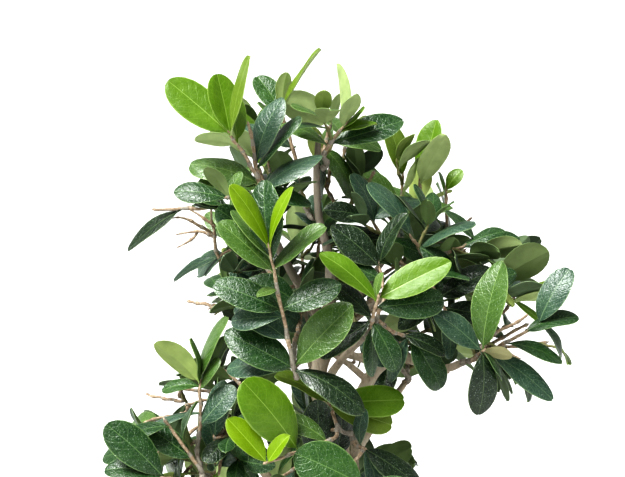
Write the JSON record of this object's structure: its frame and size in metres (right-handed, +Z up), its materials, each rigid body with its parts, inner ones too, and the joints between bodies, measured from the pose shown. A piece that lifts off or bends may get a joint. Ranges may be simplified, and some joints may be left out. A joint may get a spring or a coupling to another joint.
{
  "type": "olive bonsai in a pot",
  "caption": "Small leafy evergreen tree with a curved tapering trunk, forked boughs and an open crown of thick oval leaves, planted in a plain rectangular pot filled with soil.",
  "frame": {"origin": "centre of the flat underside of the pot, at the height of what it stands on", "axes": "+Z is up, X runs along the long side of the pot, and -Y is the front of the tree"},
  "size_m": [0.2223, 0.2062, 0.3861],
  "materials": {
    "pot": "satin",
    "soil": "matte",
    "bark": "matte",
    "leaves": "satin"
  },
  "bodies": {
    "root": {"pot": "pot", "soil": "soil", "trunk": "bark", "bough_right": "bark", "bough_front": "bark", "bough_front_right": "bark", "bough_front_left": "bark", "bough_right_top": "bark", "bough_left_back": "bark", "bough_back_right": "bark", "bough_back": "bark", "bough_low_front": "bark", "bough_low_left": "bark", "bough_low_back_left": "bark", "bough_low_back_right": "bark", "bough_low_back": "bark", "leaves_front": "leaves", "leaves_front_right": "leaves", "leaves_front_left": "leaves", "leaves_top": "leaves", "leaves_top_left": "leaves", "leaves_back_right": "leaves", "leaves_right_top": "leaves", "leaves_right": "leaves", "leaves_low_left": "leaves", "leaves_low_front": "leaves", "leaves_left_back": "leaves", "leaves_back": "leaves", "leaves_low_back_right": "leaves", "leaves_low_back_left": "leaves", "leaves_low_back": "leaves"}
  },
  "joints": []
}
